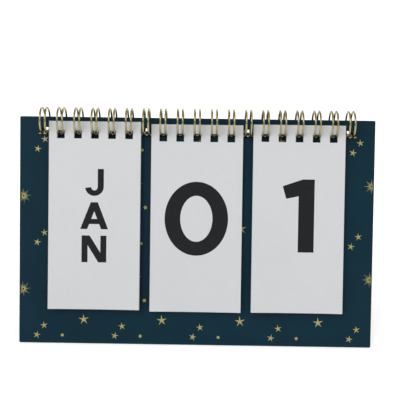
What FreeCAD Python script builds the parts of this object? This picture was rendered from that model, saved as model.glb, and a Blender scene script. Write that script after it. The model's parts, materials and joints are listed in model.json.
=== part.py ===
"""Perpetual desk calendar: three pads of flip cards on one twin-loop wire, hung on a fold-flat easel stand.

Lengths are millimetres and angles are degrees. +X is the viewer's right, -Y is the front and +Z is up.
The origin is on the desk, under the middle of the stand's footprint.
The ring axis is the centre line of the wire's loops. Everything at the top of the stand is placed from it:
"ahead" is the distance from that axis out of the front board's face, and "below" is the distance down its slope.
"""

import FreeCAD
import Part
import math
import os

# Overrun of every cutting tool past the face that it opens
OVERRUN = 1.0

# Stand
STAND_MARGIN = 12.7
FRONT_HEIGHT = 114.3
LEAN = 16.0
CORE_THICKNESS = 1.1
PAPER_THICKNESS = 0.2
TURN_IN = 4.0
CLOSED_GAP = 0.25
FACE_SETBACK = 1.0
FRONT_TOP_ABOVE_AXIS = 2.1
BACK_TOP_BELOW_AXIS = 0.6

# Base flap and its paper crease
CREASE_STANDOFF = 0.25
FOOT_LIFT = 0.05
FLAP_REAR_GAP = 0.5
FLAP_FRONT_GAP = 0.9

# Twin-loop wire
LOOP_PITCH = 25.4 / 3
WIRE_DIAMETER = 1.0
LOOP_WIDTH = 2.5
SPINE_BEND_RADIUS = 0.9
SPINE_CLEARANCE = 0.1
TIP_CLEARANCE = 0.45
SPINE_END_LENGTH = 1.0
POINT_SPACING = 0.25

# Punched holes, the same in boards and cards, by the room that they leave the wire
HOLE_SIDE_ROOM = 0.25
HOLE_PLAY = 3.0
FRONT_HOLE_ROOM = 0.42
BACK_HOLE_ROOM = 1.43

# Flip cards
PAD_GAP = 5.3
CARD_HEIGHT = 93.7
CARD_THICKNESS = 0.18
CARD_GAP = 0.02
CARD_HOLES = 5
PAD_COUNT = 3
CARD_HOLE_MARGIN = 4.5
PILE_CLEARANCE = 0.2
TURN_CLEARANCE = 0.1
HANG_CLEARANCE = 0.04
EDGE_CLEARANCE = 0.06
TURN_ROOM = 0.02
TURN_AXIS_DROP = 0.275

# The cards of each pad from front to back
MONTHS = ("january", "february", "march", "april", "may", "june",
          "july", "august", "september", "october", "november", "december")
TENS = tuple(f"tens_{number}" for number in range(4))
ONES = tuple(f"ones_{number}" for number in (1, 2, 3, 4, 5, 6, 7, 8, 9, 0))

lean_sin = math.sin(math.radians(LEAN))
lean_cos = math.cos(math.radians(LEAN))
board_thickness = CORE_THICKNESS + 2 * PAPER_THICKNESS

card_pitch = CARD_THICKNESS + CARD_GAP
pile_start = SPINE_CLEARANCE + WIRE_DIAMETER + PILE_CLEARANCE - FACE_SETBACK
hole_width = LOOP_WIDTH + WIRE_DIAMETER + 2 * HOLE_SIDE_ROOM
hole_height = WIRE_DIAMETER + HOLE_PLAY


def pile_front(count):
    """How far ahead of the ring axis the outer face of a pad's front card lies."""
    return pile_start + count * card_pitch - CARD_GAP


def axis_beside(count):
    """How far ahead of the ring axis a pad's turning line lies.

    It is half way between the pad's front card and the same card turned up in front of the front board.
    """
    return (pile_front(count) - FACE_SETBACK + TURN_CLEARANCE) / 2


def hole_swing(count):
    """The circle that the upper edge of the front card's holes runs on about the pad's turning line."""
    return math.hypot(pile_front(count) - axis_beside(count), CARD_HOLE_MARGIN + EDGE_CLEARANCE)


def loop_radius():
    """The radius of the loops' centre line, just large enough for the thickest pad's cards to turn inside it.

    The edge of a hole is furthest from the ring axis when the turning line lies between the two.
    """
    thickest = max(len(MONTHS), len(TENS), len(ONES))
    swing = math.hypot(axis_beside(thickest), TURN_AXIS_DROP) + hole_swing(thickest)
    return swing + TURN_ROOM + WIRE_DIAMETER / 2


ring_radius = loop_radius()

# Behind the ring axis: the front board's two faces, and the back board's two faces when the stand is closed
front_faces = (FACE_SETBACK, FACE_SETBACK + board_thickness)
back_faces = (front_faces[1] + CLOSED_GAP, front_faces[1] + CLOSED_GAP + board_thickness)

# The front board stands on the edge between its inner face and its foot
front_foot_below = FRONT_HEIGHT - FRONT_TOP_ABOVE_AXIS
axis_z = front_foot_below * lean_cos + front_faces[1] * lean_sin

# The back board stops short of the desk, because the paper crease passes under its foot
back_foot_z = PAPER_THICKNESS + FOOT_LIFT
back_foot_below = (axis_z + back_faces[0] * lean_sin - back_foot_z) / lean_cos
back_height = back_foot_below - BACK_TOP_BELOW_AXIS

# The footprint runs from the front board's lower front edge to the crease, seen from under the ring axis
footprint_front = front_faces[0] * lean_cos - front_foot_below * lean_sin
crease_behind_axis = (back_faces[1] + CREASE_STANDOFF + axis_z * lean_sin) / lean_cos
axis_y = -(footprint_front + crease_behind_axis) / 2
ring_axis = FreeCAD.Vector(0, axis_y, axis_z)

# Each pad takes its own loops with one left free between pads and one at either end, and the stand reaches a
# margin past the end loops
loop_count = PAD_COUNT * (CARD_HOLES + 1) + 1
first_loop_x = -(loop_count - 1) * LOOP_PITCH / 2
stand_width = 2 * (STAND_MARGIN - first_loop_x)
pad_pitch = (CARD_HOLES + 1) * LOOP_PITCH
card_width = pad_pitch - PAD_GAP


def loop_positions():
    """The x of every loop of the wire."""
    return [first_loop_x + index * LOOP_PITCH for index in range(loop_count)]


def lean_forward(shape):
    """Puts a shape made upright at the ring axis into the front board's lean."""
    placed = shape.copy()
    placed.rotate(FreeCAD.Vector(0, 0, 0), FreeCAD.Vector(1, 0, 0), -LEAN)
    placed.translate(ring_axis)
    return placed


def lean_back(shape):
    """Puts a shape made upright at the ring axis into the back board's lean."""
    placed = shape.copy()
    placed.rotate(FreeCAD.Vector(0, 0, 0), FreeCAD.Vector(1, 0, 0), LEAN)
    placed.translate(ring_axis)
    return placed


def block(x_range, y_range, z_range):
    """A box between two corners."""
    size = [high - low for low, high in (x_range, y_range, z_range)]
    return Part.makeBox(*size, FreeCAD.Vector(x_range[0], y_range[0], z_range[0]))


def punches(x_positions, y_range, centre_z):
    """Square punches through a sheet that stands upright between two y values."""
    low, high = y_range[0] - OVERRUN, y_range[1] + OVERRUN
    z_range = (centre_z - hole_height / 2, centre_z + hole_height / 2)
    return [block((x - hole_width / 2, x + hole_width / 2), (low, high), z_range) for x in x_positions]


def wrapped_board(x_range, z_range, outer, inner):
    """The three layers of a wrapped board that stands upright, from its outer face's y to its inner face's y.

    The printed paper covers the outer face and the edges and is turned in round the back. The lining fills
    the space between the turned-in margins, and the grey board is closed in by both.
    """
    inwards = math.copysign(1, inner - outer)
    under_print = outer + inwards * PAPER_THICKNESS
    under_lining = inner - inwards * PAPER_THICKNESS
    core = block((x_range[0] + PAPER_THICKNESS, x_range[1] - PAPER_THICKNESS),
                 sorted((under_print, under_lining)),
                 (z_range[0] + PAPER_THICKNESS, z_range[1] - PAPER_THICKNESS))
    lining = block((x_range[0] + TURN_IN, x_range[1] - TURN_IN),
                   sorted((under_lining, inner)),
                   (z_range[0] + TURN_IN, z_range[1] - TURN_IN))
    whole = block(x_range, sorted((outer, inner)), z_range)
    return {"core": core, "wrap": whole.cut(core).cut(lining), "lining": lining}


def punched(layers, y_range, centre_z):
    """Every layer of a board with the row of wire holes punched through it."""
    tools = punches(loop_positions(), sorted(y_range), centre_z)
    return {name: layer.cut(tools) for name, layer in layers.items()}


def hole_centre(near_face, room):
    """The z of a board's holes, which leave this room under the wire where it enters the board's nearer face."""
    wire_below = math.sqrt((ring_radius + WIRE_DIAMETER / 2) ** 2 - near_face ** 2)
    return hole_height / 2 - wire_below - room


def front_board():
    """The printed face of the stand, leaning back, with its outer face just behind the ring axis."""
    z_range = (-front_foot_below, FRONT_TOP_ABOVE_AXIS)
    layers = wrapped_board((-stand_width / 2, stand_width / 2), z_range, *front_faces)
    layers = punched(layers, front_faces, hole_centre(front_faces[0], FRONT_HOLE_ROOM))
    return {f"front_board_{name}": lean_forward(layer) for name, layer in layers.items()}


def back_board():
    """The rear leg of the stand, hung on the same wire. Its printed face looks away from the front board."""
    z_range = (-back_foot_below, -BACK_TOP_BELOW_AXIS)
    layers = wrapped_board((-stand_width / 2, stand_width / 2), z_range, *reversed(back_faces))
    layers = punched(layers, back_faces, hole_centre(back_faces[0], BACK_HOLE_ROOM))
    return {f"back_board_{name}": lean_back(layer) for name, layer in layers.items()}


def crease_y():
    """Where the flap turns: just outside the back board's face, at desk level."""
    return axis_y + crease_behind_axis


def flap_range():
    """The y of the base flap's front and rear edges, clear of both leaning boards at the flap's top."""
    below_axis = axis_z - board_thickness
    front_face = axis_y + (front_faces[1] - below_axis * lean_sin) / lean_cos
    back_face = axis_y + (back_faces[0] + below_axis * lean_sin) / lean_cos
    return front_face + FLAP_FRONT_GAP, back_face - FLAP_REAR_GAP


def base_flap():
    """The flap that lies on the desk and keeps the boards apart, with the paper crease that hinges it."""
    x_range = (-stand_width / 2, stand_width / 2)
    y_range = flap_range()
    layers = wrapped_board(x_range, y_range, 0, board_thickness)
    # Made upright with its edges in z, then laid on its printed face with those edges in y
    laid = {}
    for name, layer in layers.items():
        flat = layer.copy()
        flat.rotate(FreeCAD.Vector(0, 0, 0), FreeCAD.Vector(1, 0, 0), 90)
        laid[name] = flat.mirror(FreeCAD.Vector(0, 0, 0), FreeCAD.Vector(0, 1, 0))
    crease = block(x_range, (y_range[1] - TURN_IN, crease_y()), (0, PAPER_THICKNESS))
    laid["wrap"] = laid["wrap"].fuse(crease).removeSplitter()
    return {f"base_flap_{name}": layer for name, layer in laid.items()}


def ring_point(x, turn, out=0.0, along=0.0):
    """A point on a loop. turn is 0 at its lowest point and grows up the front; along follows the tangent."""
    sine, cosine = math.sin(math.radians(turn)), math.cos(math.radians(turn))
    radius = ring_radius + out
    ahead = radius * sine + along * cosine
    below = radius * cosine - along * sine
    return FreeCAD.Vector(x, -ahead, -below)


def spine_turn():
    """The turn at which the loops leave the spine, so that the spine lies just in front of the front board."""
    ahead = SPINE_CLEARANCE + WIRE_DIAMETER / 2 - FACE_SETBACK
    reach = math.hypot(ring_radius, SPINE_BEND_RADIUS)
    return math.degrees(math.asin(ahead / reach) + math.atan2(SPINE_BEND_RADIUS, ring_radius))


def tip_turn():
    """The turn at which a loop's rounded tip starts, so that the tip nests between the two bends of its root."""
    apart = LOOP_WIDTH / 2 + SPINE_BEND_RADIUS
    reach = apart + WIRE_DIAMETER + TIP_CLEARANCE
    back = math.sqrt(reach ** 2 - apart ** 2)
    return 360 + spine_turn() - math.degrees(back / ring_radius)


def arc_through(*points):
    """An arc edge through three points."""
    return Part.Arc(*points).toShape()


def spine_bend(x, side, start):
    """The quarter bend between the spine and one leg of a loop, in the plane that touches the loop there."""
    centre_x = x + side * SPINE_BEND_RADIUS
    middle = SPINE_BEND_RADIUS * math.sqrt(0.5)
    leg = ring_point(x, start)
    half_way = ring_point(centre_x - side * middle, start, along=-middle)
    spine = ring_point(centre_x, start, along=-SPINE_BEND_RADIUS)
    return leg, half_way, spine


def loop_edges(x):
    """One loop: up from the spine, round to its tip, back round beside itself and down to the spine."""
    start, stop = spine_turn(), tip_turn()
    middle = (start + stop) / 2
    left, right = x - LOOP_WIDTH / 2, x + LOOP_WIDTH / 2
    quarter = (start + middle) / 2
    three_quarters = (middle + stop) / 2
    tip = ring_point(x, stop, along=LOOP_WIDTH / 2)
    edges = [arc_through(*reversed(spine_bend(left, -1, start)))]
    edges.append(arc_through(ring_point(left, start), ring_point(left, quarter), ring_point(left, middle)))
    edges.append(arc_through(ring_point(left, middle), ring_point(left, three_quarters), ring_point(left, stop)))
    edges.append(arc_through(ring_point(left, stop), tip, ring_point(right, stop)))
    edges.append(arc_through(ring_point(right, stop), ring_point(right, three_quarters),
                             ring_point(right, middle)))
    edges.append(arc_through(ring_point(right, middle), ring_point(right, quarter), ring_point(right, start)))
    edges.append(arc_through(*spine_bend(right, 1, start)))
    return edges


def wire_path():
    """The centre line of the whole wire, from its cut end on the left to its cut end on the right."""
    start = spine_turn()
    root = LOOP_WIDTH / 2 + SPINE_BEND_RADIUS
    positions = loop_positions()
    level = {"turn": start, "along": -SPINE_BEND_RADIUS}
    edges = [Part.makeLine(ring_point(positions[0] - root - SPINE_END_LENGTH, **level),
                           ring_point(positions[0] - root, **level))]
    for index, x in enumerate(positions):
        edges += loop_edges(x)
        last = index == len(positions) - 1
        next_x = x + root + SPINE_END_LENGTH if last else positions[index + 1] - root
        edges.append(Part.makeLine(ring_point(x + root, **level), ring_point(next_x, **level)))
    return Part.Wire(edges)


def least_gap(path):
    """The least gap between two turns of the wire, measured on points along its centre line."""
    points = sorted((point.x, index, point) for index, point in enumerate(
        path.discretize(Distance=POINT_SPACING)))
    apart = 2 * LOOP_WIDTH
    window = LOOP_WIDTH
    least = math.inf
    for place, (x, index, point) in enumerate(points):
        for other_x, other_index, other in points[place + 1:]:
            if other_x - x > window:
                break
            if abs(other_index - index) * POINT_SPACING > apart:
                least = min(least, point.distanceToPoint(other))
    return least - WIRE_DIAMETER


def twin_loop_wire():
    """The wire as one round tube along its centre line."""
    path = wire_path()
    start = path.Edges[0].Vertexes[0].Point
    section = Part.Wire(Part.makeCircle(WIRE_DIAMETER / 2, start, FreeCAD.Vector(1, 0, 0)))
    tube = path.makePipeShell([section], True, False)
    expected = math.pi * (WIRE_DIAMETER / 2) ** 2 * path.Length
    print(f"wire length {path.Length:.1f}, volume {tube.Volume:.1f}, section times length {expected:.1f}")
    print(f"least gap of the wire to itself {least_gap(path):.2f}")
    return {"twin_loop_wire": lean_forward(tube)}


def card_top_below(count):
    """How far below the ring axis a pad's cards have their tops.

    They hang as low as the wire allows in their holes, both at rest and all the way through half a turn.
    """
    inside = ring_radius - WIRE_DIAMETER / 2
    at_rest = math.sqrt((inside - HANG_CLEARANCE) ** 2 - pile_front(count) ** 2) - CARD_HOLE_MARGIN
    reach = inside - TURN_ROOM - hole_swing(count)
    turning = math.sqrt(reach ** 2 - axis_beside(count) ** 2) + EDGE_CLEARANCE
    return min(at_rest, turning)


def turning_axis(count):
    """The line that a pad's cards turn about, as its distances ahead of and below the ring axis.

    It runs just above the cards' top edges, so that a card turned up clears the cards still hanging.
    """
    return axis_beside(count), card_top_below(count) - EDGE_CLEARANCE


def pad(names, centre_x):
    """A pad of cards that hang in front of the stand, the first name in front."""
    hole_x = [centre_x + (index - (CARD_HOLES - 1) / 2) * LOOP_PITCH for index in range(CARD_HOLES)]
    top = -card_top_below(len(names))
    hole_z = top - CARD_HOLE_MARGIN - hole_height / 2
    cards = {}
    for index, name in enumerate(names):
        front = pile_front(len(names)) - index * card_pitch
        y_range = (-front, CARD_THICKNESS - front)
        card = block((centre_x - card_width / 2, centre_x + card_width / 2), y_range, (top - CARD_HEIGHT, top))
        cards[f"card_{name}"] = lean_forward(card.cut(punches(hole_x, y_range, hole_z)))
    return cards


def build():
    """Every piece by its node's name."""
    pieces = {}
    pieces.update(front_board())
    pieces.update(back_board())
    pieces.update(base_flap())
    pieces.update(twin_loop_wire())
    pieces.update(pad(MONTHS, -pad_pitch))
    pieces.update(pad(TENS, 0))
    pieces.update(pad(ONES, pad_pitch))
    return pieces


def main():
    """Writes one STEP file for each piece, and prints the sizes that the joints need."""
    os.makedirs("parts", exist_ok=True)
    pieces = build()
    for name, shape in pieces.items():
        shape.exportStep(os.path.join("parts", f"{name}.step"))
        print(name, len(shape.Solids), shape.isValid(), round(shape.Volume, 2))
    print("ring axis y, z:", axis_y, axis_z, "loop radius:", ring_radius)
    print("crease y:", crease_y(), "flap:", flap_range(), "back board height:", back_height)
    for names in (MONTHS, TENS, ONES):
        ahead, below = turning_axis(len(names))
        y = axis_y - ahead * lean_cos - below * lean_sin
        z = axis_z + ahead * lean_sin - below * lean_cos
        print(names[0], "turning axis y, z:", y, z, "ahead, below:", ahead, below)


main()
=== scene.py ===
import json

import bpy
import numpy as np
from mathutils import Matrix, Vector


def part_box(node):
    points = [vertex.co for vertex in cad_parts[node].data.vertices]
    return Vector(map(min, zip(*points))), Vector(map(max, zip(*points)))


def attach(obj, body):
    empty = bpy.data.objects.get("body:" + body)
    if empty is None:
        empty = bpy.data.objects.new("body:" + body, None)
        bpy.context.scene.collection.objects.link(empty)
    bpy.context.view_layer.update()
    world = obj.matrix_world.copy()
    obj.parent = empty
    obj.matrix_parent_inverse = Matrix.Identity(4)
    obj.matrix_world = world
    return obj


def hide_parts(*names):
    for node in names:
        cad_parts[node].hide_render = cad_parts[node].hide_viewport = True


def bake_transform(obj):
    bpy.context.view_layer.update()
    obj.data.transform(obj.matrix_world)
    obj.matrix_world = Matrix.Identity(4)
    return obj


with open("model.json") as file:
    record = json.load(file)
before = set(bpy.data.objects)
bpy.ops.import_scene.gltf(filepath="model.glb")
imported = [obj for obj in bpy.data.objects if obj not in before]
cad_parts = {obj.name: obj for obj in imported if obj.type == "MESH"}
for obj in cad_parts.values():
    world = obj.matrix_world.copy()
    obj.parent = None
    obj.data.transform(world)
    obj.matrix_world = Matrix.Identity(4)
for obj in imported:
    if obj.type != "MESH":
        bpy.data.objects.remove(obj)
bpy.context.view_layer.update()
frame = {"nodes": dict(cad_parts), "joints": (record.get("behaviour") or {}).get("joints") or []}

# %% [markdown]
# # A perpetual desk calendar
#
# Two wrapped boards lean on each other and a flap on the desk keeps them apart. Three pads of white cards hang
# in front on one gold twin-loop wire. A card is turned up and over to show the next one. The solids are loaded
# above as a fixed frame in metres, with the desk at z = 0 and the front towards -Y.
# This lesson gives them their paper, ink and metal.

MM = 0.001

# %% [markdown]
# ## Places on the leaning boards
#
# Everything at the top of the stand is measured from the middle of the wire's loops. A place on the front
# board is three numbers in millimetres: x to the right, up along the slope, and ahead out of its face.
# The back board has the same three, leaning the other way. One function turns either kind of place into
# metres in the frame, so that no piece needs an object that is turned or moved. All sizes are millimetres.

# %% The two leaning frames
joints = {joint["name"]: joint for joint in frame["joints"]}
RING_AXIS = np.array(joints["stand_fold"]["pos_m"])
LEAN = np.radians(16.0)
LOOP_PITCH = 25.4 / 3
LOOP_COUNT = 19
BOARD_WIDTH, BOARD_THICKNESS, PAPER, HOLE = 177.8, 1.5, 0.2, 4.0
FRONT_TOP, FRONT_HEIGHT, FACE_AHEAD = 2.1, 114.3, -1.0
BACK_TOP, BACK_HEIGHT, BACK_FACE = -0.6, 112.845, -4.25
FRONT_HOLE_Y, BACK_HOLE_Y = FRONT_HEIGHT - 7.3, BACK_HEIGHT - 5.1


def leaning(x, up, ahead, lean=LEAN):
    """Places in metres: the ring axis, plus x sideways, plus up along the slope, plus ahead out of the face.

    The slope's direction is (0, sin lean, cos lean), and the face looks along (0, -cos lean, sin lean).
    """
    x, up, ahead = np.broadcast_arrays(x, up, ahead)
    y = up * np.sin(lean) - ahead * np.cos(lean)
    z = up * np.cos(lean) + ahead * np.sin(lean)
    return np.stack([x, y, z], axis=-1) * MM + RING_AXIS * [0, 1, 1]


def flat_on_desk(x, back, height):
    """Places in metres on the base flap: x sideways, back along +Y, and height over the desk."""
    return np.stack(np.broadcast_arrays(x, back, height), axis=-1) * MM


print("ring axis in metres:", RING_AXIS)

# %% [markdown]
# ## Camera
#
# The photograph looks almost straight at the front board. The spacing of the wire's loops gives the scale,
# the inward shift of the rear wires gives the distance, and the board's four corners give the rest.
# Its direction is written as the three axes of the camera, which say more than three angles would.

# %% Camera at the photograph's place
VIEW_ANGLE = np.radians(29.556)
CAMERA_PLACE = Vector((0.00462839, -0.37383412, 0.19082838))
RIGHT = Vector((0.99986981, 0.011609, 0.01120703))
UP = Vector((-0.01429091, 0.3146099, 0.94911347))
BACKWARDS = Vector((0.00749242, -0.94915006, 0.31473484))
camera_data = bpy.data.cameras.new("camera")
camera_data.angle = VIEW_ANGLE
camera = bpy.data.objects.new("camera", camera_data)
bpy.context.scene.collection.objects.link(camera)
turn = Matrix((RIGHT, UP, BACKWARDS)).transposed().to_4x4()
camera.matrix_world = Matrix.Translation(CAMERA_PLACE) @ turn
bpy.context.scene.camera = camera
bpy.context.scene.view_settings.view_transform = "Standard"
print("camera to ring axis in metres:", (CAMERA_PLACE - Vector(RING_AXIS)).length)

# %% [markdown]
# ## Node trees in a few words
#
# A material is a small graph. Building each link by hand hides what the graph does, so one short helper adds
# a node, sets its inputs and links whatever is given as another node's output.


# %% A helper for node trees
class Paint:
    """A material and its main shader, with a short way to add nodes to it."""

    def __init__(self, name):
        self.material = bpy.data.materials.new(name)
        self.material.use_nodes = True
        self.tree = self.material.node_tree
        self.shader = next(node for node in self.tree.nodes if node.type == "BSDF_PRINCIPLED")
        self.place = self.add("ShaderNodeTexCoord").outputs["Object"]

    def add(self, kind, inputs=None, **settings):
        """Adds a node. inputs maps a socket's name or number to a value or to another node's output."""
        node = self.tree.nodes.new(kind)
        for key, value in settings.items():
            setattr(node, key, value)
        for key, value in (inputs or {}).items():
            if isinstance(value, bpy.types.NodeSocket):
                self.tree.links.new(value, node.inputs[key])
            else:
                node.inputs[key].default_value = value
        return node

    def sum(self, operation, *values):
        """The result of one arithmetic step on sockets or numbers."""
        node = self.add("ShaderNodeMath", dict(enumerate(values)), operation=operation)
        return node.outputs[0]

    def noise(self, scale, detail=2.0, rough=0.5):
        """Cloudy noise of a size in 1 / metres, between 0 and 1."""
        node = self.add("ShaderNodeTexNoise", {"Vector": self.place, "Scale": scale,
                                               "Detail": detail, "Roughness": rough})
        return node.outputs["Fac"]

    def between(self, value, low, high, out_low=0.0, out_high=1.0):
        """value moved from the range low..high to out_low..out_high, and held inside it."""
        node = self.add("ShaderNodeMapRange", {"Value": value, "From Min": low, "From Max": high,
                                               "To Min": out_low, "To Max": out_high})
        return node.outputs["Result"]

    def blend(self, share, first, second):
        """A colour between two, by a share from 0 to 1."""
        node = self.add("ShaderNodeMix", data_type="RGBA")
        self.tree.links.new(share, node.inputs["Factor"])
        for socket, colour in ((node.inputs[6], first), (node.inputs[7], second)):
            if isinstance(colour, bpy.types.NodeSocket):
                self.tree.links.new(colour, socket)
            else:
                socket.default_value = (*colour, 1.0)
        return node.outputs[2]

    def finish(self, colour=None, roughness=None, **constants):
        """Links colour and roughness, and sets every other value on the shader's own sockets."""
        for socket, value in (("Base Color", colour), ("Roughness", roughness)):
            if isinstance(value, bpy.types.NodeSocket):
                self.tree.links.new(value, self.shader.inputs[socket])
            elif value is not None:
                constants[socket] = (*value, 1.0) if socket == "Base Color" else value
        for socket, value in constants.items():
            self.shader.inputs[socket.replace("_", " ")].default_value = value
        return self.material

    def relief(self, height, depth_mm, strength=1.0):
        """Fine relief on the surface, from a height between 0 and 1."""
        bump = self.add("ShaderNodeBump", {"Height": height, "Distance": depth_mm * MM,
                                           "Strength": strength})
        self.tree.links.new(bump.outputs["Normal"], self.shader.inputs["Normal"])


print("a paint can:", [name for name in vars(Paint) if not name.startswith("_")])

# %% [markdown]
# ## Papers
#
# The stand is covered in a printed sheet: night blue ink under a thin satin film. Seen close it isn't one
# flat colour. The ink is slightly cloudy, the film has a soft grain from the board below it, and a painted
# highlight makes the sheet paler in patches round the edges. The lining inside is the same blue without the
# film.
# The cards are uncoated white, with faint fibres.

# %% Printed night-blue paper
NIGHT = (0.0024, 0.0262, 0.0440)
# A paler blue painted on the boards' rims as a painted highlight, and the width of that band.
NIGHT_RIM_HIGHLIGHT = (0.060, 0.105, 0.130)
RIM_HIGHLIGHT_WIDTH = 0.5


def edge_share(paint, half_sizes_mm, centre, lean, width_mm):
    """1 at a board's rim and 0 further in than width_mm, measured in the board's own leaning frame."""
    inward = paint.add("ShaderNodeMapping", {"Vector": paint.place, "Location": tuple(-c for c in centre)},
                       vector_type="POINT")
    level = paint.add("ShaderNodeVectorRotate", {"Vector": inward.outputs[0], "Angle": lean},
                      rotation_type="X_AXIS")
    axes = paint.add("ShaderNodeSeparateXYZ", {"Vector": level.outputs[0]})
    rims = []
    for axis, half in zip(("X", "Z"), half_sizes_mm):
        away = paint.sum("ABSOLUTE", axes.outputs[axis])
        rims.append(paint.between(away, (half - width_mm) * MM, half * MM))
    return paint.sum("MAXIMUM", *rims)


def printed_paper(name, rim=None):
    """Blue ink under a satin film. rim is what edge_share needs for the painted highlight where the sheet
    folds round a board.
    """
    paint = Paint(name)
    cloud = paint.noise(45.0, 4.0, 0.55)
    fine = paint.noise(900.0, 3.0, 0.6)
    deep = tuple(0.82 * c for c in NIGHT)
    pale = tuple(1.28 * c for c in NIGHT)
    colour = paint.blend(cloud, deep, pale)
    if rim:
        # Painted highlight: the rims are painted paler, in patches, where the sheet folds round the board's
        # edges.
        patches = paint.between(paint.noise(300.0, 3.0), 0.42, 0.66)
        rim_highlight = paint.sum("MULTIPLY", edge_share(paint, *rim, RIM_HIGHLIGHT_WIDTH), patches)
        colour = paint.blend(rim_highlight, colour, NIGHT_RIM_HIGHLIGHT)
    paint.relief(fine, 0.02, 0.35)
    return paint.finish(colour, paint.between(fine, 0.3, 0.7, 0.40, 0.52), Coat_Weight=0.04,
                        Coat_Roughness=0.25, Specular_IOR_Level=0.12)


def board_rim(node, height, lean):
    """What edge_share needs for a board: half its sizes, the middle of its box at rest and its lean."""
    low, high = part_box(node)
    middle = tuple((a + b) / 2 for a, b in zip(low, high))
    return (BOARD_WIDTH / 2, height / 2), middle, lean


front_paper = printed_paper("night_paper_front", board_rim("front_board_wrap", FRONT_HEIGHT, LEAN))
back_paper = printed_paper("night_paper_back", board_rim("back_board_wrap", BACK_HEIGHT, -LEAN))
base_paper = printed_paper("night_paper_base")
print("printed papers:", front_paper.name, back_paper.name, base_paper.name)


# %% Lining paper, grey board and card
def lining_paper():
    """Uncoated blue paper: cloudy, matt, with a fibre grain."""
    paint = Paint("lining_paper")
    fibre = paint.noise(1400.0, 5.0, 0.7)
    colour = paint.blend(paint.noise(60.0, 3.0), (0.0075, 0.0265, 0.0425), (0.0120, 0.0370, 0.0560))
    paint.relief(fibre, 0.03, 0.5)
    return paint.finish(colour, paint.between(fibre, 0.3, 0.7, 0.7, 0.85), Specular_IOR_Level=0.3)


def grey_board():
    """Pressed recycled board: warm grey with darker and paler specks."""
    paint = Paint("grey_board")
    speck = paint.between(paint.noise(2200.0, 4.0, 0.7), 0.35, 0.7)
    colour = paint.blend(speck, (0.20, 0.185, 0.16), (0.36, 0.34, 0.30))
    paint.relief(speck, 0.05, 0.6)
    return paint.finish(colour, 0.92, Specular_IOR_Level=0.2)


def card_paper():
    """White uncoated card: very faint clouding, fibres and a dry grain."""
    paint = Paint("card_paper")
    fibre = paint.noise(1700.0, 6.0, 0.72)
    cloud = paint.noise(30.0, 3.0, 0.5)
    ground = paint.blend(cloud, (0.735, 0.745, 0.760), (0.790, 0.795, 0.800))
    colour = paint.blend(paint.between(fibre, 0.25, 0.5), (0.700, 0.705, 0.715), ground)
    paint.relief(fibre, 0.018, 0.4)
    return paint.finish(colour, paint.between(fibre, 0.3, 0.7, 0.58, 0.72), Specular_IOR_Level=0.35)


lining = lining_paper()
core_board = grey_board()
card_stock = card_paper()
print("plain papers:", lining.name, core_board.name, card_stock.name)

# %% [markdown]
# ## Inks and wire
#
# The letters and figures are flat black ink with a slight sheen. The stars are gold ink: not metal foil, but
# tiny flakes in a varnish, so it is part metal and rather rough. The wire is steel with a thin brass-coloured
# finish. Its sheen varies a little along its length where it was drawn and bent.


# %% Ink and metal
def black_ink():
    """Nearly black printing ink with a soft sheen."""
    paint = Paint("black_ink")
    colour = paint.blend(paint.noise(500.0, 3.0), (0.0085, 0.0100, 0.0125), (0.0150, 0.0170, 0.0200))
    return paint.finish(colour, 0.48, Specular_IOR_Level=0.18)


def gold_ink():
    """Flakes of metal in a varnish: a warm, broken glitter between two golds."""
    paint = Paint("gold_ink")
    flake = paint.add("ShaderNodeTexVoronoi", {"Vector": paint.place, "Scale": 4500.0})
    glint = paint.add("ShaderNodeSeparateColor", {"Color": flake.outputs["Color"]}).outputs[0]
    colour = paint.blend(glint, (0.38, 0.325, 0.092), (0.61, 0.55, 0.215))
    return paint.finish(colour, paint.between(glint, 0.0, 1.0, 0.34, 0.5), Metallic=0.55)


def gold_wire():
    """Brass-coloured wire: bright metal with fine drawing marks and a faint change of tone."""
    paint = Paint("gold_wire")
    marks = paint.noise(2600.0, 3.0, 0.6)
    tone = paint.noise(120.0, 2.0)
    colour = paint.blend(tone, (0.312, 0.269, 0.122), (0.452, 0.403, 0.218))
    paint.relief(marks, 0.006, 0.3)
    return paint.finish(colour, paint.between(marks, 0.3, 0.7, 0.18, 0.30), Metallic=1.0)


letter_ink = black_ink()
star_ink = gold_ink()
wire_metal = gold_wire()
print("inks and metal:", letter_ink.name, star_ink.name, wire_metal.name)


# %% The boards' inner layers
def dress(node, material):
    """Gives every material slot of a solid's object one material."""
    thing = frame["nodes"][node]
    thing.data.materials.clear()
    thing.data.materials.append(material)


for name in ("front_board", "back_board", "base_flap"):
    dress(f"{name}_lining", lining)
    dress(f"{name}_core", core_board)
dress("front_board_wrap", front_paper)
dress("back_board_wrap", back_paper)
dress("base_flap_wrap", base_paper)
print("materials:", len(bpy.data.materials))

# %% [markdown]
# ## From arrays to meshes
#
# Every new piece is a surface with two parameters: a grid of points, or several grids. The points are worked
# out as whole arrays, and the faces come from the grid's own numbering, so there is no loop over vertices.


# %% Grids and pieces
def grid_faces(rows, columns, first=0, closed=False):
    """The quads of a grid of rows x columns points. closed joins the last column to the first."""
    index = np.arange(rows * columns).reshape(rows, columns) + first
    near = index if closed else index[:, :-1]
    far = np.roll(index, -1, axis=1) if closed else index[:, 1:]
    return np.stack([near[:-1], far[:-1], far[1:], near[1:]], axis=-1).reshape(-1, 4)


def new_piece(name, points, faces, material, body, smooth=False):
    """A mesh object at the origin, from points in metres and faces. It rides on a body if one is given."""
    mesh = bpy.data.meshes.new(name)
    mesh.from_pydata(np.asarray(points).reshape(-1, 3).tolist(), [], [list(face) for face in faces])
    mesh.materials.append(material)
    mesh.polygons.foreach_set("use_smooth", [smooth] * len(mesh.polygons))
    mesh.update()
    thing = bpy.data.objects.new(name, mesh)
    bpy.context.scene.collection.objects.link(thing)
    if body:
        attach(thing, body)
    return thing


print("a closed grid of 3 x 4 points has", len(grid_faces(3, 4, closed=True)), "faces")

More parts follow.
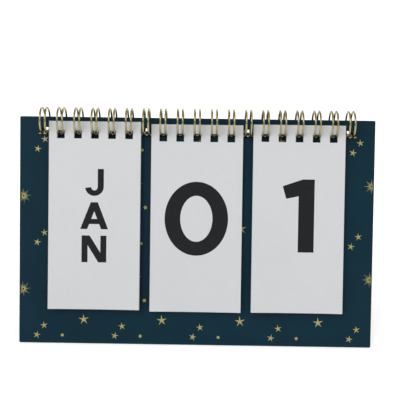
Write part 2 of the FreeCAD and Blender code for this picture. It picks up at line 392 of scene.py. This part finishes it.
# %% A sheet with punched holes
def punched_grid(x_limits, y_limits, hole_x, hole_y, widest=2.4):
    """A grid over a rectangle whose lines follow square holes, and its faces without those of the holes.

    A cell is left out where its middle is less than half a hole from a hole's middle, both ways.
    """
    def lines(edges):
        parts = [np.linspace(a, b, int(np.ceil((b - a) / widest)), endpoint=False)
                 for a, b in zip(edges[:-1], edges[1:])]
        return np.concatenate(parts + [[edges[-1]]])

    hole_x = np.asarray(hole_x, float)
    rims_x = np.sort(np.concatenate([hole_x - HOLE / 2, hole_x + HOLE / 2]))
    rims_y = [hole_y - HOLE / 2, hole_y + HOLE / 2] if len(hole_x) else []
    x = lines(np.concatenate([x_limits[:1], rims_x, x_limits[1:]]))
    y = lines([y_limits[0], *rims_y, y_limits[1]])
    mid_x, mid_y = (x[:-1] + x[1:]) / 2, (y[:-1] + y[1:]) / 2
    over = (np.abs(mid_x[:, None] - hole_x) < HOLE / 2).any(axis=1)
    open_cell = over[None] & (np.abs(mid_y - hole_y) < HOLE / 2)[:, None]
    return x, y, grid_faces(len(y), len(x))[~open_cell.ravel()]


print("cells of a small sheet with one hole:", len(punched_grid((0, 9), (0, 9), [4.5], 4.5)[2]))


# %% [markdown]
# ## The covered boards
#
# A cover is one sheet of paper, glued over the board's face, folded round its edges and turned in four
# millimetres at the back. Paper can't fold dead sharp over board, so every edge is slightly round, and that
# is where the light catches. The solids have sharp edges, and a Bevel would be held back by their thin
# turned-in rims. So each cover is made as two surfaces: a face with the holes left out, and a band whose
# profile runs round the edge, carried round the board's outline.

# %% The band round a board's edge
COVER_EDGE, COVER_CORNER, TURN_IN, FACE_INSET, EDGE_STEP = 0.38, 0.7, 4.0, 1.0, 0.06


def edge_band(width, height):
    """The band round a board: x, y and depth of a profile carried round a rectangle with round corners.

    At inset d from the outline the corner's radius is the larger of corner - d and 0, and its middle moves
    in by d plus that radius. The profile is inset 1 to a quarter round, down the edge, and round to inset 4.
    """
    swing = np.radians(np.linspace(0, 90, 6))
    inset = np.concatenate([[FACE_INSET, COVER_EDGE + EDGE_STEP], COVER_EDGE * (1 - np.sin(swing)),
                            COVER_EDGE * (1 - np.cos(swing)), [COVER_EDGE + EDGE_STEP, TURN_IN]])
    depth = np.concatenate([[0, 0], COVER_EDGE * (1 - np.cos(swing)),
                            BOARD_THICKNESS - COVER_EDGE * (1 - np.sin(swing)), [BOARD_THICKNESS] * 2])
    corner = np.arange(4)[:, None]
    angle = (np.pi / 2 * corner + np.linspace(0, np.pi / 2, 6)).ravel()
    side_x = np.repeat([1, -1, -1, 1], 6)
    side_y = np.repeat([1, 1, -1, -1], 6)
    radius = np.maximum(COVER_CORNER - inset, 0)[:, None]
    x = side_x * (width / 2 - inset[:, None] - radius) + radius * np.cos(angle)
    y = height / 2 + side_y * (height / 2 - inset[:, None] - radius) + radius * np.sin(angle)
    return x, y, depth[:, None] + 0 * x


print("points of the band's profile:", len(edge_band(BOARD_WIDTH, FRONT_HEIGHT)[0]))


# %% A cover with its holes
def cover(name, body, node, width, height, holes, hole_y, place, looks_back, material):
    """A cover from its face, its edge band and the short walls of its holes, as one mesh.

    place turns x, height above the foot and depth below the outer face into metres.
    """
    x, y, face = punched_grid((FACE_INSET - width / 2, width / 2 - FACE_INSET),
                              (FACE_INSET, height - FACE_INSET), holes, hole_y)
    points = [place(x[None], y[:, None], 0.0).reshape(-1, 3)]
    faces = [face]
    band_x, band_y, band_depth = edge_band(width, height)
    points.append(place(band_x, band_y, band_depth).reshape(-1, 3))
    faces.append(grid_faces(*band_x.shape, len(points[0]), closed=True)[:, ::-1])
    count = len(points[0]) + len(points[1])
    square_x, square_y = np.array([-1, 1, 1, -1]) * HOLE / 2, np.array([-1, -1, 1, 1]) * HOLE / 2
    for middle in holes:
        wall = place(square_x[None] + middle, square_y[None] + hole_y, np.array([[0.0], [PAPER]]))
        points.append(wall.reshape(-1, 3))
        faces.append(grid_faces(2, 4, count, closed=True))
        count += 8
    faces = np.concatenate(faces)
    sheet = new_piece(name, np.concatenate(points), faces[:, ::-1] if looks_back else faces, material, body)
    band = np.zeros(len(faces), bool)
    band[len(face):len(face) + band_x.size - band_x.shape[1]] = True
    sheet.data.polygons.foreach_set("use_smooth", band)
    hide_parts(node)
    return sheet


# %% The three covers
base_low, base_high = (np.array(corner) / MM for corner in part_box("base_flap_core"))
BASE_FRONT, BASE_REAR = base_low[1] - PAPER, base_high[1] + PAPER
CREASE = np.array(joints["flap_fold"]["pos_m"])[1] / MM
loop_x = (np.arange(LOOP_COUNT) - (LOOP_COUNT - 1) / 2) * LOOP_PITCH


def on_front(x, y, depth):
    """A place on the front board: y above its foot, depth behind its outer face."""
    return leaning(x, y + FRONT_TOP - FRONT_HEIGHT, FACE_AHEAD - depth)


def on_back(x, y, depth):
    """A place on the back board: y above its foot, depth from its outer face towards the front."""
    return leaning(x, y + BACK_TOP - BACK_HEIGHT, BACK_FACE + depth, -LEAN)


def on_base(x, y, depth):
    """A place on the base flap: y behind its front edge, depth above its underside."""
    return flat_on_desk(x, BASE_FRONT + y, depth)


covers = [
    cover("cover_front", "front_panel", "front_board_wrap", BOARD_WIDTH, FRONT_HEIGHT, loop_x,
          FRONT_HOLE_Y, on_front, False, front_paper),
    cover("cover_back", "back_panel", "back_board_wrap", BOARD_WIDTH, BACK_HEIGHT, loop_x,
          BACK_HOLE_Y, on_back, True, back_paper),
    cover("cover_base", "base_flap", "base_flap_wrap", BOARD_WIDTH, BASE_REAR - BASE_FRONT, [],
          0.0, on_base, True, base_paper),
]
print("covers:", [len(sheet.data.polygons) for sheet in covers])

# %% [markdown]
# ## The crease
#
# The base flap isn't a separate board screwed on: a strip of the covering paper runs from its underside,
# under the back board's foot and up its outer face, and the fold in that strip is the hinge. The strip is
# made once, as it lies at rest, and rides on no body.

# %% A strip that bends between back board and flap
STRIP_LIFT, STRIP_THICKNESS, STRIP_INSET = 0.1, 0.12, 0.2
CLIMB_START, CLIMB_END, FOLD_START, FLAP_LAP = 0.3, 9.0, 0.35, 0.3


def crease_strip():
    """The strip as a line of (y, z) carried along x: flat under the flap, a small fold, then up the board.

    The fold is (1 - t)^2 start + 2 t (1 - t) knee + t^2 end, a curve that leaves both along their own lines.
    """
    slope = np.array([-np.sin(LEAN), np.cos(LEAN)])
    outward = np.array([np.cos(LEAN), np.sin(LEAN)])
    foot = on_back(0.0, 0.0, 0.0)[1:] / MM
    climb = foot + outward * STRIP_LIFT + np.linspace(CLIMB_START, CLIMB_END, 8)[:, None] * slope
    start = np.array([CREASE - FOLD_START, STRIP_LIFT])
    share = np.linspace(0, 1, 9)[1:-1, None]
    knee = np.array([CREASE - 0.02, 0.08])
    fold = (1 - share) ** 2 * start + 2 * share * (1 - share) * knee + share ** 2 * climb[0]
    flat = np.stack([np.linspace(BASE_REAR - FLAP_LAP, start[0], 6), np.full(6, STRIP_LIFT)], axis=-1)
    line = np.concatenate([flat, fold, climb])
    x = np.linspace(STRIP_INSET - BOARD_WIDTH / 2, BOARD_WIDTH / 2 - STRIP_INSET, 30)
    points = flat_on_desk(x[None], line[:, :1], line[:, 1:])
    strip = new_piece("crease_paper", points, grid_faces(len(line), len(x)), base_paper, None, True)
    thick = strip.modifiers.new("thickness", "SOLIDIFY")
    thick.thickness = STRIP_THICKNESS * MM
    thick.offset = 0.0
    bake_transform(strip)
    return strip


crease = crease_strip()
print("crease paper:", len(crease.data.polygons), "faces")

# %% [markdown]
# ## The twin-loop wire
#
# One wire is bent to and fro into nineteen flat fingers and then rolled into rings. Seen from the side each
# finger is almost a whole circle. It could be made of torus pieces, but their joints would show, so one round
# section is carried along the whole line instead. The line is arcs and straights that meet without a kink,
# and the direction away from the ring's middle is always square to it, which gives the section its frame.

# %% The wire's centre line
RING_RADIUS, WIRE_RADIUS, LOOP_WIDTH, ROOT_BEND = 6.35, 0.5, 2.5, 0.9
SPINE_GAP, TIP_GAP = 0.1, 0.45
SPINE_AHEAD = SPINE_GAP + WIRE_RADIUS + FACE_AHEAD
FIRST_LOOP = -(LOOP_COUNT - 1) * LOOP_PITCH / 2


def ring_place(x, turn, along):
    """x, ahead and below of points on a ring: turn grows from its foot up the front, along is tangent."""
    ahead = RING_RADIUS * np.sin(turn) + along * np.cos(turn)
    below = RING_RADIUS * np.cos(turn) - along * np.sin(turn)
    return np.stack(np.broadcast_arrays(x, ahead, below), axis=-1)


root_turn = np.arcsin(SPINE_AHEAD / np.hypot(RING_RADIUS, ROOT_BEND)) + np.arctan2(ROOT_BEND, RING_RADIUS)
root_apart = LOOP_WIDTH / 2 + ROOT_BEND
tip_reach = np.sqrt((root_apart + 2 * WIRE_RADIUS + TIP_GAP) ** 2 - root_apart ** 2)
tip_start = 2 * np.pi + root_turn - tip_reach / RING_RADIUS


def loop_line():
    """Points of one loop about x = 0, with the turn at each: bend, ring, tip, ring back, bend."""
    quarter = np.radians(np.linspace(0, 90, 9))
    climb = np.linspace(root_turn, tip_start, 72)[1:]
    half = np.radians(np.linspace(0, 180, 15))[1:]
    x = [-root_apart + ROOT_BEND * np.sin(quarter), np.full(climb.shape, -LOOP_WIDTH / 2),
         -LOOP_WIDTH / 2 * np.cos(half), np.full(climb.shape, LOOP_WIDTH / 2),
         root_apart - ROOT_BEND * np.cos(quarter[1:])]
    turn = [np.full(quarter.shape, root_turn), climb, np.full(half.shape, tip_start),
            np.append(climb[-2::-1], root_turn), np.full(quarter.shape, root_turn)[1:]]
    along = [-ROOT_BEND * np.cos(quarter), 0 * climb, LOOP_WIDTH / 2 * np.sin(half), 0 * climb,
             -ROOT_BEND * np.sin(quarter[1:])]
    return tuple(np.concatenate(values) for values in (x, turn, along))


print("a loop has", len(loop_line()[0]), "points")


# %% A round section along the line
def round_tube(line, outward, radius, sides=12):
    """A round section carried along a line: line + radius (cos b outward + sin b sideways)."""
    forward = np.gradient(line, axis=0)
    forward /= np.linalg.norm(forward, axis=1, keepdims=True)
    sideways = np.cross(outward, forward)
    sideways /= np.linalg.norm(sideways, axis=1, keepdims=True)
    around = np.linspace(0, 2 * np.pi, sides, endpoint=False)
    ring = outward[:, None] * np.cos(around)[:, None] + sideways[:, None] * np.sin(around)[:, None]
    points = line[:, None] + radius * ring
    last = len(line) * sides - sides
    ends = [list(range(sides))[::-1], list(range(last, last + sides))]
    return points, list(map(list, grid_faces(len(line), sides, closed=True)[:, ::-1])) + ends


def twin_loop_wire():
    """The whole wire, from one cut end of its spine to the other."""
    x, turn, along = loop_line()
    x = (x[None] + FIRST_LOOP + LOOP_PITCH * np.arange(LOOP_COUNT)[:, None]).ravel()
    turn, along = np.tile(turn, LOOP_COUNT), np.tile(along, LOOP_COUNT)
    x = np.concatenate([[x[0] - 1.0], x, [x[-1] + 1.0]])
    turn, along = (np.concatenate([[v[0]], v, [v[-1]]]) for v in (turn, along))
    place = ring_place(x, turn, along)
    line = leaning(place[:, 0], -place[:, 2], place[:, 1])
    away = leaning(0, -np.cos(turn), np.sin(turn)) - leaning(0, 0, 0)
    points, faces = round_tube(line, away / MM, WIRE_RADIUS * MM)
    return new_piece("gold_wire", points, faces, wire_metal, "front_panel", smooth=True)


wire = twin_loop_wire()
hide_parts("twin_loop_wire")
print("wire:", len(wire.data.polygons), "faces")

# %% [markdown]
# ## The cards
#
# A card is a thin sheet with five square holes near its top. It hangs straight from the wire, but paper
# never stays quite flat: each card bows a little further out than the one behind it, most at its lower
# corners. A plain box could not do that. The sheet is a grid whose lines follow the holes' edges, so a hole
# is simply a cell without a face. The bow moves the grid, and Solidify gives the sheet its thickness.

# %% The pads and the bow of their cards
CARD_WIDTH, CARD_HEIGHT, CARD_THICKNESS, CARD_PITCH = 45.5, 93.7, 0.18, 0.20
HOLE_DROP, PILE_START = 6.5, 0.3
LEAST_BOW, BOW_RANGE, MOST_SHIFT = 0.05, 0.95, 0.12
MONTHS = ("january", "february", "march", "april", "may", "june",
          "july", "august", "september", "october", "november", "december")
PADS = [("", MONTHS, -6 * LOOP_PITCH), ("tens_", "0123", 0.0), ("ones_", "1234567890", 6 * LOOP_PITCH)]
chance = np.random.default_rng(11)


def pad_cards(prefix, names, middle):
    """Each card of a pad from front to back: its node, label, middle, top, face and how far it bows."""
    count = len(names)
    front = PILE_START + count * CARD_PITCH - (CARD_PITCH - CARD_THICKNESS)
    highest = (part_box(f"card_{prefix}{names[0]}")[1][2] - RING_AXIS[2]) / MM
    top = (highest - front * np.sin(LEAN)) / np.cos(LEAN)
    steps = chance.uniform(0.5, 1.5, count)
    bows = BOW_RANGE * np.cumsum(steps[::-1])[::-1] / steps.sum() + LEAST_BOW
    shifts = chance.uniform(-MOST_SHIFT, MOST_SHIFT, count)
    return [{"node": f"card_{prefix}{name}", "label": name, "middle": middle + shifts[i], "top": top,
             "face": front - i * CARD_PITCH, "bow": bows[i]} for i, name in enumerate(names)]


def on_card(card, x, below, lift=0.0):
    """A place on a card's face: x from its middle, below its top edge, lifted off it, all in millimetres.

    The bow is bow x (below / height)^2.2 x (0.35 + 0.65 (2 x / width)^2).
    """
    bow = card["bow"] * (np.clip(below, 0, None) / CARD_HEIGHT) ** 2.2
    bow = bow * (0.35 + 0.65 * (2 * x / CARD_WIDTH) ** 2)
    return leaning(card["middle"] + x, card["top"] - below, card["face"] + bow + lift)


cards = [card for pad in PADS for card in pad_cards(*pad)]
print(len(cards), "cards; pads' tops above the ring axis:", sorted({round(c["top"], 3) for c in cards}))


# %% The sheets
def card_sheet(card):
    """A card as a grid with five cells left out, thickened towards its back."""
    holes = np.arange(-2, 3) * LOOP_PITCH
    x, below, faces = punched_grid((-CARD_WIDTH / 2, CARD_WIDTH / 2), (0, CARD_HEIGHT), holes, HOLE_DROP)
    points = on_card(card, x[None], below[:, None])
    name = card["node"].replace("card", "sheet")
    sheet = new_piece(name, points, faces[:, ::-1], card_stock, card["node"])
    thick = sheet.modifiers.new("thickness", "SOLIDIFY")
    thick.thickness = CARD_THICKNESS * MM
    thick.offset = -1.0
    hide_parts(card["node"])
    return sheet


sheets = [card_sheet(card) for card in cards]
print("each card has", len(sheets[0].data.polygons), "cells")

# %% [markdown]
# ## Letters and figures
#
# The calendar's type is a heavy plain alphabet. A font file would be simpler, but then the script would lean
# on a file, and text can't follow the bow of the card. So each sign is drawn as a sign painter would, with
# three kinds of stroke: a slanted bar, a block and a bow. Every stroke is a small grid laid on the card.
# Overlapping strokes lie a hair apart in height, so that no two surfaces share a plane.

# %% Strokes
STEM, BEAM = 0.225, 0.20


def quad(*corners):
    """A four-cornered patch in sign units: corners run round it, and the grid is bilinear between them."""
    a, b, c, d = (np.array(corner, float) for corner in corners)
    s, t = np.meshgrid(np.linspace(0, 1, 9), np.linspace(0, 1, 9), indexing="ij")
    s, t = s[..., None], t[..., None]
    return (1 - s) * ((1 - t) * a + t * b) + s * ((1 - t) * d + t * c)


def block(x0, y0, x1, y1):
    """An upright block between two corners."""
    return quad((x0, y0), (x1, y0), (x1, y1), (x0, y1))


def bar(x0, y0, x1, y1, width):
    """A slanted bar whose ends are cut level. x0 and x1 are its left edge at y0 and y1."""
    return quad((x0, y0), (x0 + width, y0), (x1 + width, y1), (x1, y1))


def bow(cx, cy, rx, ry, start=0, stop=360, stem=STEM, beam=BEAM):
    """Part of an oval band: its outside is rx by ry, and it is stem thick at the sides and beam at top."""
    angle = np.radians(np.linspace(start, stop, max(9, int(abs(stop - start) / 5))))[:, None]
    inwards = np.linspace(0, 1, 4)[None]
    x = cx + (rx - stem * inwards) * np.cos(angle)
    y = cy + (ry - beam * inwards) * np.sin(angle)
    return np.stack([x, y], axis=-1)


print("points of a block and of a whole bow:", block(0, 0, 1, 1).size // 2, bow(0, 0, 1, 1).size // 2)

# %% The alphabet that twelve months need
LETTERS = {
    "A": [bar(0, 0, 0.39, 1, 0.26), bar(0.78, 0, 0.39, 1, 0.26), block(0.2, 0.19, 0.84, 0.38)],
    "B": [block(0, 0, STEM, 1), block(STEM, 0.8, 0.42, 1), block(STEM, 0.4, 0.42, 0.6),
          block(STEM, 0, 0.42, 0.2), bow(0.42, 0.7, 0.28, 0.3, -90, 90), bow(0.42, 0.3, 0.32, 0.3, -90, 90)],
    "C": [bow(0.5, 0.5, 0.5, 0.5, 48, 312)],
    "D": [block(0, 0, STEM, 1), block(STEM, 0.8, 0.36, 1), block(STEM, 0, 0.36, 0.2),
          bow(0.36, 0.5, 0.5, 0.5, -90, 90)],
    "E": [block(0, 0, STEM, 1), block(STEM, 0.8, 0.68, 1), block(STEM, 0.4, 0.62, 0.6),
          block(STEM, 0, 0.68, 0.2)],
    "F": [block(0, 0, STEM, 1), block(STEM, 0.8, 0.68, 1), block(STEM, 0.39, 0.62, 0.59)],
    "G": [bow(0.5, 0.5, 0.5, 0.5, 48, 322), block(0.54, 0.36, 0.96, 0.55), block(0.75, 0.12, 0.96, 0.36)],
    "J": [block(0.47, 0.34, 0.695, 1), bow(0.3475, 0.34, 0.3475, 0.34, 188, 360)],
    "L": [block(0, 0, STEM, 1), block(STEM, 0, 0.66, 0.2)],
    "M": [block(0, 0, STEM, 1), block(0.885, 0, 1.11, 1), bar(0.425, 0.1, 0, 1, 0.26),
          bar(0.425, 0.1, 0.85, 1, 0.26)],
    "N": [block(0, 0, STEM, 1), block(0.7, 0, 0.925, 1), bar(0.625, 0, 0, 1, 0.3)],
    "O": [bow(0.5, 0.5, 0.5, 0.5)],
    "P": [block(0, 0, STEM, 1), block(STEM, 0.8, 0.42, 1), block(STEM, 0.34, 0.42, 0.54),
          bow(0.42, 0.67, 0.3, 0.33, -90, 90)],
    "R": [block(0, 0, STEM, 1), block(STEM, 0.8, 0.42, 1), block(STEM, 0.37, 0.42, 0.57),
          bow(0.42, 0.685, 0.3, 0.315, -90, 90), bar(0.5, 0, 0.3, 0.4, 0.27)],
    "S": [bow(0.37, 0.7, 0.34, 0.3, 22, 270), bow(0.37, 0.3, 0.37, 0.3, -158, 90)],
    "T": [block(0, 0.8, 0.82, 1), block(0.2975, 0, 0.5225, 0.8)],
    "U": [block(0, 0.38, STEM, 1), block(0.615, 0.38, 0.84, 1), bow(0.42, 0.38, 0.42, 0.38, 180, 360)],
    "V": [bar(0.36, 0, 0, 1, 0.26), bar(0.36, 0, 0.72, 1, 0.26)],
    "Y": [block(0.3775, 0, 0.6025, 0.46), bar(0.36, 0.42, 0, 1, 0.26), bar(0.36, 0.42, 0.72, 1, 0.26)],
}
print("letters:", " ".join(LETTERS))

# %% The ten figures
THICK = {"stem": 0.211, "beam": 0.189}
SIX = [bow(0.42, 0.335, 0.42, 0.335, **THICK), quad((0.0, 0.36), (0.215, 0.36), (0.64, 1), (0.385, 1))]
FIGURES = {
    "0": [bow(0.4285, 0.5, 0.4285, 0.5, **THICK)],
    "1": [block(0.218, 0, 0.435, 0.9), quad((0.218, 0.88), (0.435, 0.88), (0.435, 1), (0.268, 1)),
          quad((0.048, 0.733), (0.228, 0.771), (0.275, 1), (0, 0.905))],
    "2": [bow(0.42, 0.69, 0.41, 0.31, -25, 168, **THICK), block(0, 0, 0.83, 0.189),
          quad((0, 0.189), (0.29, 0.189), (0.79, 0.56), (0.6, 0.64))],
    "3": [bow(0.4, 0.705, 0.38, 0.295, -90, 162, **THICK), bow(0.4, 0.295, 0.42, 0.295, -162, 90, **THICK),
          block(0.25, 0.41, 0.4, 0.59)],
    "4": [block(0.48, 0, 0.691, 1), block(0, 0.19, 0.86, 0.379),
          quad((0, 0.379), (0.23, 0.379), (0.6, 1), (0.4, 1))],
    "5": [block(0.1, 0.811, 0.78, 1), block(0.1, 0.44, 0.3, 0.811),
          bow(0.4, 0.325, 0.42, 0.325, -160, 128, **THICK)],
    "6": SIX,
    "7": [block(0, 0.811, 0.83, 1), quad((0.17, 0), (0.42, 0), (0.83, 0.811), (0.58, 0.811))],
    "8": [bow(0.42, 0.73, 0.36, 0.27, **THICK), bow(0.42, 0.295, 0.42, 0.295, **THICK)],
    "9": [np.array([0.84, 1.0]) - stroke for stroke in SIX],
}
print("figures:", " ".join(FIGURES))


# %% Printing a card
SIGN_LIFT, LAYER_STEP, LAYERS = 0.006, 0.0012, 6


def print_signs(card, signs):
    """Lays signs on a card, centred. A sign is (strokes, height, distance of its top below the card's top)."""
    points, faces, count, layer = [], [], 0, 0
    for strokes, height, top in signs:
        every = np.concatenate([stroke.reshape(-1, 2) for stroke in strokes])
        middle = (every[:, 0].min() + every[:, 0].max()) / 2
        for stroke in strokes:
            x = (stroke[..., 0] - middle) * height
            below = top + (1 - stroke[..., 1]) * height
            lift = SIGN_LIFT + LAYER_STEP * (layer % LAYERS)
            points.append(on_card(card, x, below, lift).reshape(-1, 3))
            rows, columns = stroke.shape[:2]
            patch = grid_faces(rows, columns, count)
            a, b, c = (points[-1][patch[0][k] - count] for k in (0, 1, 2))
            looks_back = np.cross(b - a, c - b)[1] > 0
            faces += list(map(list, patch[:, ::-1] if looks_back else patch))
            count += rows * columns
            layer += 1
    name = card["node"].replace("card", "ink")
    ink = new_piece(name, np.concatenate(points), faces, letter_ink, card["node"])
    return ink


# %% What each card says
LETTER_HEIGHT, FIRST_LETTER, LETTER_PITCH = 13.4, 23.5, 16.6
FIGURE_HEIGHT, ONE_HEIGHT, ONES_RAISED = 37.0, 36.4, 1.8


def card_signs(card):
    """Three stacked letters for a month, or one large figure, printed higher in the last pad."""
    if card["label"] in MONTHS:
        letters = card["label"][:3].upper()
        return [(LETTERS[letter], LETTER_HEIGHT, FIRST_LETTER + LETTER_PITCH * row)
                for row, letter in enumerate(letters)]
    height = ONE_HEIGHT if card["label"] == "1" else FIGURE_HEIGHT
    raised = ONES_RAISED if "ones" in card["node"] else 0.0
    return [(FIGURES[card["label"]], height, (CARD_HEIGHT - height) / 2 - raised)]


inks = [print_signs(card, card_signs(card)) for card in cards]
print("printed cards:", len(inks))

# %% [markdown]
# ## Stars on the boards
#
# The covering paper carries a regular repeat of small gold stars, dots and bursts of rays. A shader could
# draw them, but a burst has sixteen rays, and flat patches of ink keep their sharp points from close by.
# Each motif is a ring of points round a middle, and a whole sheet of motifs is one mesh. The repeat is the
# same on the front, the back and the underside of the base flap. The wire's holes were punched after printing,
# so a patch of a motif is left out where it would lie over a hole.


# %% Motifs
def star_motif(points, radius, waist):
    """A star: outer and inner points in turn round a middle, as one fan of triangles."""
    angle = np.pi / 2 + np.arange(2 * points) * np.pi / points
    reach = np.where(np.arange(2 * points) % 2, radius * waist, radius)
    rim = np.stack([reach * np.cos(angle), reach * np.sin(angle)], axis=-1)
    fan = [[0, 1 + k, 1 + (k + 1) % len(rim)] for k in range(len(rim))]
    return np.concatenate([[[0.0, 0.0]], rim]), fan


def burst_motif(rays, radius, hollow, half_width):
    """Separate thin rays, long and short in turn, round a small empty middle: each one a triangle."""
    angle = np.arange(rays) * 2 * np.pi / rays
    out = np.stack([np.cos(angle), np.sin(angle)], axis=-1)
    across = np.stack([-out[:, 1], out[:, 0]], axis=-1)
    reach = np.where(np.arange(rays) % 2, 0.62 * radius, radius)[:, None]
    corners = np.stack([hollow * out - half_width * across, reach * out,
                        hollow * out + half_width * across], axis=1)
    return corners.reshape(-1, 2), [[3 * k, 3 * k + 1, 3 * k + 2] for k in range(rays)]


MOTIFS = {"large": star_motif(5, 2.75, 0.27), "medium": star_motif(5, 2.0, 0.28),
          "small": star_motif(5, 1.15, 0.5), "dot": star_motif(8, 0.8, 0.85),
          "burst": burst_motif(16, 4.0, 0.42, 0.21)}
print("motifs:", ", ".join(MOTIFS))

# %% The repeat, and a sheet of it
REPEAT = (39.45, 47.0)
TRIM = 0.4
HALF_WIDTH = BOARD_WIDTH / 2 - TRIM
SPOTS = np.array([[1, 0, 0], [0, 1, 0], [0, 0, 1], [0.5, 0.5, 0], [0, 0.5, 0.5], [0.5, 0, 0.5], [1 / 3] * 3])
LAYOUT = [("medium", -76.3, 9.0, 8), ("medium", -79.9, 4.1, -12), ("large", -56.2, 12.3, 4),
          ("dot", -67.0, 4.1, 0), ("burst", -86.9, 27.4, 6), ("burst", -70.3, 34.4, 0),
          ("small", -65.1, 22.3, 10)]


def star_sheet(name, body, height, place, hole_y, looks_back):
    """A sheet of motifs. height is the face's height, place turns x and height above its foot into metres.

    Each triangle is tried at seven spots, its corners, its sides' middles and its own middle. It is left out
    if one of them is less than half a hole from a hole's middle, both ways.
    """
    points, faces, count = [], [], 0
    for kind, x0, y0, spin in LAYOUT:
        outline, fan = MOTIFS[kind]
        fan, turn = np.array(fan), np.radians(spin)
        outline = outline @ np.array([[np.cos(turn), np.sin(turn)], [-np.sin(turn), np.cos(turn)]])
        for x in np.arange(x0 - 2 * REPEAT[0], 90, REPEAT[0]):
            for y in np.arange(y0 - 2 * REPEAT[1], height, REPEAT[1]):
                if not (abs(x) < HALF_WIDTH and 0 < y < height):
                    continue
                motif = np.clip(outline + [x, y], [-HALF_WIDTH, TRIM], [HALF_WIDTH, height - TRIM])
                whole = np.abs(motif - outline - [x, y]).max(axis=1) < 1e-9
                spots = SPOTS @ motif[fan]
                near = (np.abs(spots[..., :1] - loop_x) < HOLE / 2).any(axis=-1)
                punched = (near & (np.abs(spots[..., 1] - hole_y) < HOLE / 2)).any(axis=1)
                kept = fan[whole[fan].any(axis=1) & ~punched] + count
                points.append(place(motif[:, 0], motif[:, 1]))
                faces += (kept[:, ::-1] if looks_back else kept).tolist()
                count += len(outline)
    ink = new_piece(name, np.concatenate(points), faces, star_ink, body)
    return ink


# %% Three printed faces
INK_LIFT = 0.008
star_sheets = [
    star_sheet("stars_front", "front_panel", FRONT_HEIGHT,
               lambda x, y: on_front(x, y, -INK_LIFT), FRONT_HOLE_Y, False),
    star_sheet("stars_back", "back_panel", BACK_HEIGHT,
               lambda x, y: on_back(x, y, -INK_LIFT), BACK_HOLE_Y, True),
    star_sheet("stars_base", "base_flap", BASE_REAR - BASE_FRONT,
               lambda x, y: on_base(x, y, -INK_LIFT), np.inf, True),
]
print("patches of ink:", {ink.name: len(ink.data.polygons) for ink in star_sheets})

# %% [markdown]
# ## Floor, light and background
#
# The floor is a pale sheet that reaches far behind the calendar. The camera, and whatever mirrors or lets
# light through, sees it nearly white. The lamps are wide and soft: a large one from the left and above, a
# weaker one from the right, and an even sky that keeps the shadows open.


# %% The floor
FLOOR_REACH, FLOOR_DROP = 9.0, 5e-5


def pale_floor():
    """A wide floor that the camera and mirroring metal see as almost white, with soft shadows on it.

    The lamps fade with distance and the background doesn't, so the floor glows a little more further out.
    """
    paint = Paint("floor_paper")
    paths = paint.add("ShaderNodeLightPath")
    seen = paint.sum("MAXIMUM", paths.outputs["Is Camera Ray"], paths.outputs["Is Glossy Ray"])
    seen = paint.sum("MAXIMUM", seen, paths.outputs["Is Transmission Ray"])
    away = paint.add("ShaderNodeVectorMath", {0: paint.place}, operation="LENGTH").outputs["Value"]
    glow = paint.sum("MULTIPLY", seen, paint.between(away, 0.3, 2.0, 0.55, 0.68))
    material = paint.finish((0.80, 0.80, 0.80), 0.9, Emission_Color=(1.0, 1.0, 1.0, 1.0))
    paint.tree.links.new(glow, paint.shader.inputs["Emission Strength"])
    return material


corners = [(x * FLOOR_REACH, y * FLOOR_REACH, -FLOOR_DROP) for x, y in ((-1, -1), (1, -1), (1, 1), (-1, 1))]
floor = new_piece("floor", corners, [(0, 1, 2, 3)], pale_floor(), None)
print("floor:", 2 * FLOOR_REACH, "metres square")


# %% Lamps
def lamp(name, place, aim, size, power):
    """A square area lamp at a place, facing a point."""
    data = bpy.data.lights.new(name, "AREA")
    data.size, data.energy = size, power
    thing = bpy.data.objects.new(name, data)
    towards = Vector(aim) - Vector(place)
    turned = towards.to_track_quat("-Z", "Y").to_matrix().to_4x4()
    thing.matrix_world = Matrix.Translation(place) @ turned
    bpy.context.scene.collection.objects.link(thing)


MIDDLE = (0, 0, 0.06)
lamp("key", (-1.1, -1.5, 1.7), MIDDLE, 1.3, 23.0)
lamp("fill", (1.5, -0.9, 0.9), MIDDLE, 1.6, 6.3)
lamp("rear", (0.5, 1.8, 1.4), MIDDLE, 1.6, 14.0)
print("lamps:", len(bpy.data.lights))

# %% The sky
SKY_LIGHT, SKY_SEEN = 0.43, 1.0
world = bpy.data.worlds.new("sky")
world.use_nodes = True
bpy.context.scene.world = world
tree = world.node_tree
sky = tree.nodes["Background"]
sky.inputs["Color"].default_value = (1.0, 1.0, 1.0, 1.0)
paths = tree.nodes.new("ShaderNodeLightPath")
most = tree.nodes.new("ShaderNodeMath")
most.operation = "MAXIMUM"
tree.links.new(paths.outputs["Is Camera Ray"], most.inputs[0])
tree.links.new(paths.outputs["Is Transmission Ray"], most.inputs[1])
strength = tree.nodes.new("ShaderNodeMapRange")
strength.inputs["To Min"].default_value = SKY_LIGHT
strength.inputs["To Max"].default_value = SKY_SEEN
tree.links.new(most.outputs[0], strength.inputs["Value"])
tree.links.new(strength.outputs["Result"], sky.inputs["Strength"])
print("the sky lights with", SKY_LIGHT, "and is seen with", SKY_SEEN)

# %% The end of the scene
print("scene built")
